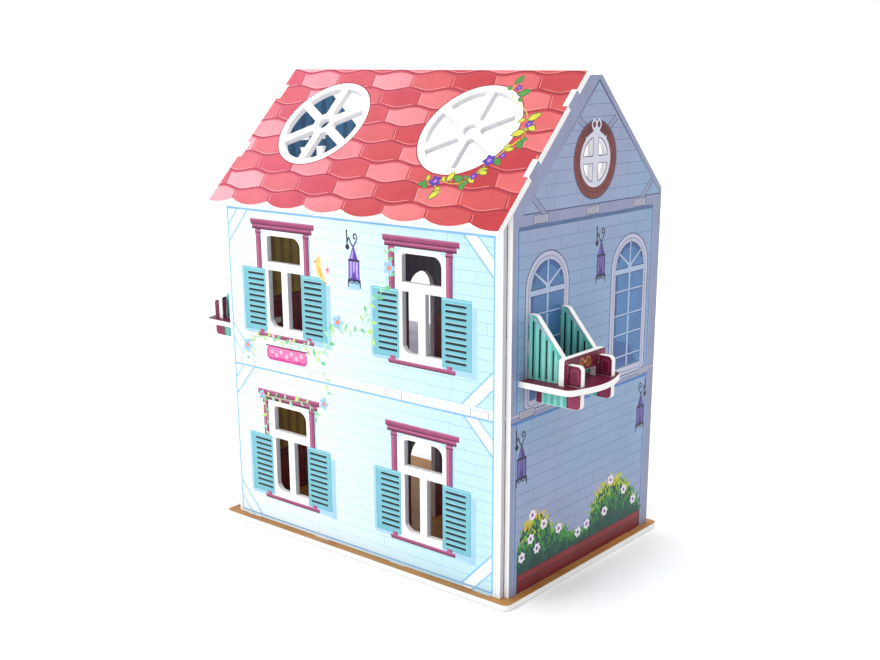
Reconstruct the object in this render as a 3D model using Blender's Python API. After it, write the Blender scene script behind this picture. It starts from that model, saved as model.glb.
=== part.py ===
"""Wooden dollhouse with two balconies, as flat boards that lock together with tabs and slots.

Metres, +Z up. X runs along the front wall, -Y is the front, and the underside of the base is at z = 0.
Every board is one outline with its cut-outs, extruded by the thickness of the sheet.
"""

import math

import bmesh
import bpy
from mathutils import Vector
from mathutils.geometry import tessellate_polygon

MM = 0.001

# The sheet that every board is cut from, and the gap that keeps neighbouring boards apart.
SHEET = 6.0
GAP = 0.3
TAB = 22.0

# Body: its width between the side walls, its depth over the front wall, and its floors.
BODY_WIDTH = 405.0
BODY_DEPTH = 283.0
BASE_MARGIN = 10.0
BASE_CORNER = 8.0
FIRST_FLOOR_Z = 197.5
ATTIC_FLOOR_Z = 390.5

# Gables: the front slope is at 45 degrees, under the roof panel.
REAR_EAVE_Z = 406.0
APEX_Z = 528.0
APEX_FLAT = 22.3

# Roof panel: the height of its outer face over the front of the front wall, and how far it juts out.
ROOF_OVER_WALL = 405.2
EAVE_OVERHANG = 17.3
SCALLOP_PITCH = 57.0
SCALLOP_RISE = 7.0
SCALLOP_SHIFT = -0.6
ROOF_TAB = 21.0
ROOF_TAB_S = (77.5, 167.5)
ROUND_WINDOW_X = 105.0
ROUND_WINDOW_S = 122.0
ROUND_WINDOW_RADIUS = 52.0
SPOKE_WIDTH = 10.0
SPOKES = 6
HUB_RADIUS = 15.0
HUB_HOLE_RADIUS = 7.5

# Windows of the front wall, over the boards that the two storeys stand on.
WINDOW_X = (-105.0, 98.5)
LOWER_SILL = 43.7
UPPER_SILL = 45.5
WINDOW_HALF = 26.4
MULLION_HALF = 5.0
PANE_HEIGHT = 65.0
CROSSBAR = 9.5
TRANSOM_HEIGHT = 29.5
# Radii of the panes' outer corners, left and right: below the tall panes, and over the transom.
LOWER_CORNERS = (10.0, 1.5)
UPPER_CORNERS = (3.0, 11.0)

# Round window in each gable, with its cross of mullions.
GABLE_WINDOW = (4.0, 444.5)
GABLE_WINDOW_RADIUS = 22.0
GABLE_MULLION_HALF = (5.75, 4.5)

# Doorway in each partition, between these distances from the front, and the foot of its arch.
DOOR_FROM_FRONT = (88.0, 131.5)
DOOR_SPRING = 87.0

# Balconies, mirrored on the two side walls.
BALCONY_FROM_FRONT = 65.0
BALCONY_Z = 231.0
BALCONY_HALF = 47.0
BALCONY_REACH = 63.0
BALCONY_BOW = 8.0
BALCONY_CORNER = 10.0
BALCONY_SIDE_HALF = 27.5
BALCONY_SIDE_RISE = 65.0
BALCONY_SIDE_ROUND = 8.0
BALCONY_SIDE_FLAT = 4.5
BALCONY_END_RISE = 21.0
BALCONY_END_CORNER = 5.0
BALCONY_FOOT_DROP = 17.0
BALCONY_FOOT_SETBACK = 10.0
BALCONY_CROSS_REACH = 31.5
RAIL_REACH = 41.0
RAIL_RISE = 27.0
RAIL_BAND_RISE = 10.0
RAIL_CROSS_RISE = 13.0
RAIL_HALF = 37.0
RAIL_LEG = 18.0
RAIL_CORNER = 3.0

# Distances of the outermost tabs from the corners of the body.
FRONT_BASE_INSET = 25.5
FRONT_FLOOR_INSET = 28.5
FRONT_TABS = 4
SIDE_BASE_INSETS = (41.5, 33.5)
SIDE_FLOOR_INSETS = (33.0, 24.5)
SIDE_ATTIC_INSETS = (51.5, 46.5)
PARTITION_INSET = 46.5
PARTITION_TOP_FROM_REAR = 96.5
BALCONY_SIDE_TAB = 14.0
BALCONY_SIDE_TAB_RISES = (21.0, 53.0)
BALCONY_FLOOR_TAB = 30.0

ARC_STEP = math.radians(7.5)
SCALLOP_STEPS = 8

# Places that follow from the sizes.
HALF_X = BODY_WIDTH / 2
HALF_Y = BODY_DEPTH / 2
OUTER_X = HALF_X + SHEET
BASE_TOP = SHEET
DIAGONAL = math.sqrt(0.5)
ROOF_OFFSET = ROOF_OVER_WALL + HALF_Y
UNDER_ROOF = ROOF_OFFSET - (SHEET + GAP) / DIAGONAL
EAVE_Y = -HALF_Y - EAVE_OVERHANG
EAVE_Z = EAVE_Y + ROOF_OFFSET
APEX_Y = APEX_Z - UNDER_ROOF
ROOF_LENGTH = (APEX_Y - EAVE_Y + APEX_Z - EAVE_Z) * DIAGONAL - 2 * GAP
BALCONY_Y = -HALF_Y + BALCONY_FROM_FRONT
BALCONY_TOP = BALCONY_Z + SHEET
DOOR_Y = tuple(-HALF_Y + distance for distance in DOOR_FROM_FRONT)


def spread(start, end, count):
    """Evenly spaced places from start to end, both included."""
    return tuple(start + (end - start) * i / (count - 1) for i in range(count))


def along_side(insets):
    """Three tabs along the depth: one near each end, and one midway."""
    return spread(-HALF_Y + insets[0], HALF_Y - insets[1], 3)


FRONT_BASE_TABS = spread(-HALF_X + FRONT_BASE_INSET, HALF_X - FRONT_BASE_INSET, FRONT_TABS)
FRONT_FLOOR_TABS = spread(-HALF_X + FRONT_FLOOR_INSET, HALF_X - FRONT_FLOOR_INSET, FRONT_TABS)
SIDE_BASE_TABS = along_side(SIDE_BASE_INSETS)
SIDE_FLOOR_TABS = along_side(SIDE_FLOOR_INSETS)
SIDE_ATTIC_TABS = along_side(SIDE_ATTIC_INSETS)
PARTITION_TABS = (-HALF_Y + PARTITION_INSET, HALF_Y - PARTITION_INSET)
PARTITION_TOP_TABS = (HALF_Y - PARTITION_TOP_FROM_REAR,)
BALCONY_SIDE_TABS = tuple(BALCONY_Z + rise for rise in BALCONY_SIDE_TAB_RISES)

WHITE = (0.86, 0.90, 0.94)
SKY = (0.42, 0.55, 0.68)
WOOD = (0.62, 0.40, 0.20)
ROSE = (0.86, 0.30, 0.34)
OLIVE = (0.46, 0.44, 0.28)
BURGUNDY = (0.30, 0.05, 0.11)
TEAL = (0.20, 0.58, 0.54)


def arc(centre, radius, start, end):
    """Points on an arc from start to end, in degrees, both ends included."""
    start, end = math.radians(start), math.radians(end)
    steps = max(2, math.ceil(abs(end - start) / ARC_STEP - 1e-6))
    turns = [start + (end - start) * i / steps for i in range(steps + 1)]
    return [(centre[0] + radius * math.cos(a), centre[1] + radius * math.sin(a)) for a in turns]


def circle(centre, radius):
    return arc(centre, radius, 0, 360)[:-1]


def box(u0, u1, v0, v1):
    return [(u0, v0), (u1, v0), (u1, v1), (u0, v1)]


def rounded(u0, u1, v0, v1, radii):
    """A rectangle whose corners, from the lower left and turning left, have these radii; 0 is square."""
    corners = ((u0, v0, 1, 1, 180), (u1, v0, -1, 1, 270), (u1, v1, -1, -1, 0), (u0, v1, 1, -1, 90))
    loop = []
    for (u, v, su, sv, turn), r in zip(corners, radii):
        loop += arc((u + su * r, v + sv * r), r, turn, turn + 90) if r else [(u, v)]
    return loop


def slot(u, v, length, width=SHEET):
    """A slot for a tab of this length along u, centred on (u, v) and wider than the tab by the gap."""
    half_u, half_v = length / 2 + GAP, width / 2 + GAP
    return box(u - half_u, u + half_u, v - half_v, v + half_v)


def upright_slot(u, v, length):
    return slot(u, v, SHEET, length)


def tabbed_edge(start, end, tabs, reach, length=TAB):
    """An edge from start to end, with tabs centred at these distances from the origin of its axis."""
    along = 0 if abs(end[0] - start[0]) > abs(end[1] - start[1]) else 1
    sign = 1 if end[along] > start[along] else -1
    points = [start]
    for centre in sorted(tabs, reverse=sign < 0):
        for step, out in ((-1, 0), (-1, reach), (1, reach), (1, 0)):
            point = list(start)
            point[along] = centre + sign * step * length / 2
            point[1 - along] += out
            points.append(tuple(point))
    return points + [end]


def area(loop):
    return sum(a[0] * b[1] - b[0] * a[1] for a, b in zip(loop, loop[1:] + loop[:1])) / 2


def prism(outline, holes, place):
    """Vertices and faces of the outline less its holes, from depth 0 to one sheet, put in space by place."""
    loops = [outline if area(outline) > 0 else outline[::-1]]
    loops += [hole if area(hole) < 0 else hole[::-1] for hole in holes]
    flat = [point for loop in loops for point in loop]
    caps = tessellate_polygon([[Vector((u, v, 0)) for u, v in loop] for loop in loops])
    count = len(flat)
    vertices = [place(u, v, w) for w in (0.0, SHEET) for u, v in flat]
    faces = []
    for a, b, c in caps:
        faces += [(a, c, b), (a + count, b + count, c + count)]
    first = 0
    for loop in loops:
        for i in range(len(loop)):
            a, b = first + i, first + (i + 1) % len(loop)
            faces.append((a, b, b + count, a + count))
        first += len(loop)
    return vertices, faces


def board(name, outline, holes, place, colour, roughness=0.55):
    """One board of the house as an object with its own material."""
    vertices, faces = prism(outline, holes, place)
    mesh = bpy.data.meshes.new(name)
    mesh.from_pydata([tuple(MM * x for x in v) for v in vertices], [], faces)
    solid = bmesh.new()
    solid.from_mesh(mesh)
    bmesh.ops.recalc_face_normals(solid, faces=solid.faces)
    solid.to_mesh(mesh)
    solid.free()
    obj = bpy.data.objects.new(name, mesh)
    bpy.context.scene.collection.objects.link(obj)
    material = bpy.data.materials.new(name + "_paint")
    material.use_nodes = True
    shader = material.node_tree.nodes["Principled BSDF"]
    shader.inputs["Base Color"].default_value = (*colour, 1.0)
    shader.inputs["Roughness"].default_value = roughness
    mesh.materials.append(material)
    return obj


def level(z):
    """Places a horizontal board: u is x, v is y and its underside is at z."""
    return lambda u, v, w: (u, v, z + w)


def facing_front(y):
    """Places an upright board along x: u is x, v is z and its front face is at y."""
    return lambda u, v, w: (u, y + w, v)


def facing_side(x):
    """Places an upright board along y: u is y, v is z and its lower face in x is at x."""
    return lambda u, v, w: (x + w, u, v)


def on_roof(u, v, w):
    """Places the roof: u is x, v runs up the slope from the tip of the eave, and w is out of the slope."""
    return u, EAVE_Y + DIAGONAL * (v - w + SHEET), EAVE_Z + DIAGONAL * (v + w - SHEET)


def clear_scene():
    for obj in list(bpy.data.objects):
        bpy.data.objects.remove(obj, do_unlink=True)


def base_board():
    x, y = OUTER_X + BASE_MARGIN, HALF_Y + BASE_MARGIN
    outline = rounded(-x, x, -y, y, (BASE_CORNER,) * 4)
    holes = [slot(tab, -HALF_Y + SHEET / 2, TAB) for tab in FRONT_BASE_TABS]
    for side in (-1, 1):
        holes += [upright_slot(side * (HALF_X + SHEET / 2), tab, TAB) for tab in SIDE_BASE_TABS]
    holes += [upright_slot(0, tab, TAB) for tab in PARTITION_TABS]
    board("base_board", outline, holes, level(0), WOOD)


def window_panes(x, z):
    """A transom over two tall panes, centred on x and standing on z."""
    half, post = WINDOW_HALF, MULLION_HALF
    top = z + PANE_HEIGHT + CROSSBAR
    (low_left, low_right), (top_left, top_right) = LOWER_CORNERS, UPPER_CORNERS
    return [
        rounded(x - half, x - post, z, z + PANE_HEIGHT, (low_left, 0, 0, 0)),
        rounded(x + post, x + half, z, z + PANE_HEIGHT, (0, low_right, 0, 0)),
        rounded(x - half, x + half, top, top + TRANSOM_HEIGHT, (0, 0, top_right, top_left)),
    ]


def front_wall():
    side, low, top = HALF_X - GAP, BASE_TOP + GAP, -HALF_Y + UNDER_ROOF
    outline = tabbed_edge((-side, low), (side, low), FRONT_BASE_TABS, -low)
    outline += [(side, top), (-side, top)]
    holes = [slot(tab, FIRST_FLOOR_Z + SHEET / 2, TAB) for tab in FRONT_FLOOR_TABS]
    for x in WINDOW_X:
        holes += window_panes(x, BASE_TOP + LOWER_SILL)
        holes += window_panes(x, FIRST_FLOOR_Z + SHEET + UPPER_SILL)
    board("front_wall", outline, holes, facing_front(-HALF_Y), WHITE)


def quarter_panes():
    """The four panes that the cross leaves in the round gable window."""
    (y, z), r, (half_y, half_z) = GABLE_WINDOW, GABLE_WINDOW_RADIUS, GABLE_MULLION_HALF
    low, high = math.degrees(math.asin(half_z / r)), math.degrees(math.acos(half_y / r))
    pane = arc((0, 0), r, low, high) + [(half_y, half_z)]
    turned = ((1, 1), (-1, 1), (-1, -1), (1, -1))
    return [[(y + sy * u, z + sz * v) for u, v in pane] for sy, sz in turned]


def slope_edge():
    """The front slope of a gable, from its apex down, with the tabs that the roof panel drops over."""
    under, half = -(SHEET + GAP), ROOF_TAB / 2
    edge = []
    for tab in sorted(ROOF_TAB_S, reverse=True):
        for s, w in ((half, under), (half, 0), (-half, 0), (-half, under)):
            edge.append((EAVE_Y + DIAGONAL * (tab + s - w), EAVE_Z + DIAGONAL * (tab + s + w)))
    return edge


def side_wall(name, side):
    low, front, rear = BASE_TOP + GAP, -HALF_Y + SHEET, HALF_Y
    outline = tabbed_edge((front, low), (rear, low), SIDE_BASE_TABS, -low)
    outline += [(rear, REAR_EAVE_Z), (APEX_Y + APEX_FLAT, APEX_Z), (APEX_Y, APEX_Z)]
    outline += slope_edge() + [(front, front + UNDER_ROOF)]
    holes = [slot(tab, FIRST_FLOOR_Z + SHEET / 2, TAB) for tab in SIDE_FLOOR_TABS]
    holes += [slot(tab, ATTIC_FLOOR_Z + SHEET / 2, TAB) for tab in SIDE_ATTIC_TABS]
    holes += quarter_panes()
    holes.append(slot(BALCONY_Y, BALCONY_Z + SHEET / 2, BALCONY_FLOOR_TAB))
    for end in (-1, 1):
        y = BALCONY_Y + end * BALCONY_SIDE_HALF
        holes += [upright_slot(y, tab, BALCONY_SIDE_TAB) for tab in BALCONY_SIDE_TABS]
    face = HALF_X if side > 0 else -OUTER_X
    board(name, outline, holes, facing_side(face), SKY)


def floor_outline(front_tabs, side_tabs):
    """A floor between the walls, open at the rear, with its tabs through them."""
    side, front = HALF_X - GAP, -HALF_Y + SHEET + GAP
    reach = SHEET + GAP
    outline = tabbed_edge((-side, front), (side, front), front_tabs, -reach)
    outline += tabbed_edge((side, front), (side, HALF_Y), side_tabs, reach)[1:]
    return outline + tabbed_edge((-side, HALF_Y), (-side, front), side_tabs, -reach)[:-1]


def first_floor():
    holes = [upright_slot(0, tab, TAB) for tab in PARTITION_TABS + PARTITION_TOP_TABS]
    outline = floor_outline(FRONT_FLOOR_TABS, SIDE_FLOOR_TABS)
    board("first_floor", outline, holes, level(FIRST_FLOOR_Z), OLIVE)


def attic_floor():
    holes = [upright_slot(0, tab, TAB) for tab in PARTITION_TABS]
    board("attic_floor", floor_outline((), SIDE_ATTIC_TABS), holes, level(ATTIC_FLOOR_Z), OLIVE)


def partition(name, low, high, top_tabs):
    """A wall across the middle of one storey, with an arched doorway open at the bottom."""
    front, rear = -HALF_Y + SHEET + GAP, HALF_Y
    low, high, reach = low + GAP, high - GAP, SHEET - GAP
    y0, y1 = DOOR_Y
    arch = arc(((y0 + y1) / 2, low + DOOR_SPRING), (y1 - y0) / 2, 180, 0)
    before = [tab for tab in PARTITION_TABS if tab < y0]
    after = [tab for tab in PARTITION_TABS if tab > y1]
    outline = tabbed_edge((front, low), (y0, low), before, -reach) + arch
    outline += tabbed_edge((y1, low), (rear, low), after, -reach)
    outline += tabbed_edge((rear, high), (front, high), top_tabs, reach)
    board(name, outline, [], facing_side(-SHEET / 2), OLIVE)


def round_window(x):
    """The panes between the spokes of a round window, and the hole of its hub."""
    r, hub, half = ROUND_WINDOW_RADIUS, HUB_RADIUS, SPOKE_WIDTH / 2
    out, inn = math.degrees(math.asin(half / r)), math.degrees(math.asin(half / hub))
    centre = (x, ROUND_WINDOW_S)
    panes = [circle(centre, HUB_HOLE_RADIUS)]
    step = 360 / SPOKES
    for turn in (step * (i + 0.5) for i in range(SPOKES)):
        pane = arc(centre, r, turn + out, turn + step - out)
        panes.append(pane + arc(centre, hub, turn + step - inn, turn + inn))
    return panes


def eave():
    """The scalloped lower edge of the roof panel, from its left end to its right end."""
    radius = (SCALLOP_PITCH**2 / 4 + SCALLOP_RISE**2) / (2 * SCALLOP_RISE)
    step = SCALLOP_PITCH / SCALLOP_STEPS
    reach = math.ceil((OUTER_X + abs(SCALLOP_SHIFT)) / step)
    places = [SCALLOP_SHIFT + step * i for i in range(-reach, reach + 1)]
    places = [-OUTER_X] + [x for x in places if abs(x) < OUTER_X - 1] + [OUTER_X]
    edge = []
    for x in places:
        off = (x - SCALLOP_SHIFT) % SCALLOP_PITCH - SCALLOP_PITCH / 2
        edge.append((x, radius - math.sqrt(radius**2 - off**2)))
    return edge


def roof_panel():
    inner, half = HALF_X - GAP, ROOF_TAB / 2 + GAP
    right = []
    for tab in ROOF_TAB_S:
        low, high = tab - half, tab + half
        right += [(OUTER_X, low), (inner, low), (inner, high), (OUTER_X, high)]
    left = [(-x, s) for x, s in reversed(right)]
    outline = eave() + right + [(OUTER_X, ROOF_LENGTH), (-OUTER_X, ROOF_LENGTH)] + left
    holes = round_window(-ROUND_WINDOW_X) + round_window(ROUND_WINDOW_X)
    board("roof_panel", outline, holes, on_roof, ROSE)


def mirrored(points, side):
    return [(side * u, v) for u, v in points]


def balcony_bow(low, high, reach):
    """The outer edge of a balcony floor, bowed outwards between its two corners."""
    steps, half = 12, (high - low) / 2
    edge = []
    for y in (low + (high - low) * i / steps for i in range(1, steps)):
        off = (y - BALCONY_Y) / half
        edge.append((reach + BALCONY_BOW * (1 - off * off), y))
    return edge


def balcony_floor(name, side):
    start, reach = OUTER_X + GAP, OUTER_X + BALCONY_REACH
    low, high, r = BALCONY_Y - BALCONY_HALF, BALCONY_Y + BALCONY_HALF, BALCONY_CORNER
    outline = [(start, low)] + arc((reach - r, low + r), r, 270, 350)
    outline += balcony_bow(low + r, high - r, reach)
    outline += arc((reach - r, high - r), r, 10, 90) + [(start, high)]
    cross, half = OUTER_X + BALCONY_CROSS_REACH + GAP, SHEET / 2 + GAP
    notches = []
    for y in (BALCONY_Y + BALCONY_SIDE_HALF, BALCONY_Y - BALCONY_SIDE_HALF):
        notches.append([(start, y + half), (cross, y + half), (cross, y - half), (start, y - half)])
    low, high = BALCONY_Y - BALCONY_FLOOR_TAB / 2, BALCONY_Y + BALCONY_FLOOR_TAB / 2
    tab = [(start, high), (HALF_X, high), (HALF_X, low), (start, low)]
    outline += notches[0] + tab + notches[1]
    board(name, mirrored(outline, side), [], level(BALCONY_Z), BURGUNDY)


def balcony_side_outline():
    """A balcony side in x and z: it crosses the floor and the rail, and two tabs go through the wall."""
    wall, end, cross = OUTER_X + GAP, OUTER_X + BALCONY_REACH, OUTER_X + BALCONY_CROSS_REACH
    under, over = BALCONY_Z - GAP, BALCONY_TOP + GAP
    rail_in, rail_out = OUTER_X + RAIL_REACH - GAP, OUTER_X + RAIL_REACH + SHEET + GAP
    foot_x, foot_z = OUTER_X + BALCONY_FOOT_SETBACK, BALCONY_Z - BALCONY_FOOT_DROP
    rail_top, notch = BALCONY_TOP + RAIL_RISE, BALCONY_TOP + RAIL_CROSS_RISE - GAP
    end_top, top = BALCONY_TOP + BALCONY_END_RISE, BALCONY_TOP + BALCONY_SIDE_RISE
    r = BALCONY_END_CORNER
    outline = [(wall, under), (foot_x, under), (foot_x, foot_z)]
    outline += arc((end - r, foot_z + r), r, 270, 360)
    outline += [(end, under), (cross, under), (cross, over), (end, over)]
    outline += arc((end - r, end_top - r), r, 0, 90)
    outline += [(rail_out, end_top), (rail_out, notch), (rail_in, notch), (rail_in, rail_top)]
    r = BALCONY_SIDE_ROUND
    outline += arc((wall + BALCONY_SIDE_FLAT, top - r), r, 27, 90) + [(wall, top)]
    half = BALCONY_SIDE_TAB / 2
    for z in sorted(BALCONY_SIDE_TABS, reverse=True):
        outline += [(wall, z + half), (HALF_X, z + half), (HALF_X, z - half), (wall, z - half)]
    return outline


def balcony_rail(name, side):
    """The front rail in y and z: a band on two legs, which drop over the balcony's sides."""
    low, high = BALCONY_TOP + GAP, BALCONY_TOP + RAIL_RISE
    cross, band, half = BALCONY_TOP + RAIL_CROSS_RISE, BALCONY_TOP + RAIL_BAND_RISE, SHEET / 2 + GAP
    near, far, post = -RAIL_HALF, -RAIL_HALF + RAIL_LEG, -BALCONY_SIDE_HALF
    leg = [(near, low), (post - half, low), (post - half, cross), (post + half, cross)]
    leg += [(post + half, low), (far, low), (far, band)]
    outline = leg + [(-y, z) for y, z in reversed(leg)]
    r = RAIL_CORNER
    outline += arc((RAIL_HALF - r, high - r), r, 0, 90) + arc((-RAIL_HALF + r, high - r), r, 90, 180)
    outline = [(BALCONY_Y + y, z) for y, z in outline]
    inner = OUTER_X + RAIL_REACH
    face = inner if side > 0 else -inner - SHEET
    board(name, outline, [], facing_side(face), BURGUNDY)


def balcony(prefix, side):
    balcony_floor(prefix + "_balcony_floor", side)
    outline = mirrored(balcony_side_outline(), side)
    front = BALCONY_Y - BALCONY_SIDE_HALF - SHEET / 2
    rear = BALCONY_Y + BALCONY_SIDE_HALF - SHEET / 2
    board(prefix + "_balcony_front_side", outline, [], facing_front(front), TEAL)
    board(prefix + "_balcony_rear_side", outline, [], facing_front(rear), TEAL)
    balcony_rail(prefix + "_balcony_rail", side)


def build():
    clear_scene()
    base_board()
    front_wall()
    side_wall("left_side_wall", -1)
    side_wall("right_side_wall", 1)
    first_floor()
    attic_floor()
    partition("lower_partition", BASE_TOP, FIRST_FLOOR_Z, PARTITION_TOP_TABS)
    partition("upper_partition", FIRST_FLOOR_Z + SHEET, ATTIC_FLOOR_Z, PARTITION_TABS)
    roof_panel()
    balcony("left", -1)
    balcony("right", 1)


build()
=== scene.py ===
import math
import random

import bpy
import numpy as np
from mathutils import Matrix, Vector
from mathutils.geometry import delaunay_2d_cdt


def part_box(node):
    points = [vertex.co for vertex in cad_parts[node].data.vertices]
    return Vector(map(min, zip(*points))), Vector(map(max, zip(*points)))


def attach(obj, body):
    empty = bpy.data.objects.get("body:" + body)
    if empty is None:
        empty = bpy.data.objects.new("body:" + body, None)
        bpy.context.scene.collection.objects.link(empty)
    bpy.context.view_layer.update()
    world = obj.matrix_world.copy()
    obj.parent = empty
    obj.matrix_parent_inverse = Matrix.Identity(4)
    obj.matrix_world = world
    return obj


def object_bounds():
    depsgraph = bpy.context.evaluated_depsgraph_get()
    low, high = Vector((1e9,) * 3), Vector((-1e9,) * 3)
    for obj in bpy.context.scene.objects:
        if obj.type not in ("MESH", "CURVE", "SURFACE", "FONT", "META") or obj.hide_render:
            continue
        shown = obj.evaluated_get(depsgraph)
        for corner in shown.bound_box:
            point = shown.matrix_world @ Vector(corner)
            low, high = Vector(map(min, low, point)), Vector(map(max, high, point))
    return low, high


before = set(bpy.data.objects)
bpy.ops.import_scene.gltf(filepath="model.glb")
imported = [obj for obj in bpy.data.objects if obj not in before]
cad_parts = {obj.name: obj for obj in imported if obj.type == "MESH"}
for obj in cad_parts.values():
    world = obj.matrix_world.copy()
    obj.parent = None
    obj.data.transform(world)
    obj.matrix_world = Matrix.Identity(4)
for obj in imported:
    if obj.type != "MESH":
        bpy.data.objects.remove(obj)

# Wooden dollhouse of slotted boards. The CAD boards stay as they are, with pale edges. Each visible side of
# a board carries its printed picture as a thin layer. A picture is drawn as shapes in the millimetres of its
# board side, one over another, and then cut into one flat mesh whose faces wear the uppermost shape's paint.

cad_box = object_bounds()

MM = 0.001
PLANE_TOLERANCE = 2e-5
LAYER = 0.12  # how far the printed layer stands off its board
LAYER_THICKNESS = 0.1
SLOT_AREA = 220  # cut-outs smaller than this, in square millimetres, are slots
EDGE_SHOWN = 0.35  # width of bare board left round each printed side
BEVEL = 0.45

X, Y, Z = Vector((1, 0, 0)), Vector((0, 1, 0)), Vector((0, 0, 1))
UP_ROOF = Vector((0, 1, 1)).normalized()
OUT_OF_ROOF = Vector((0, -1, 1)).normalized()


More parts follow.
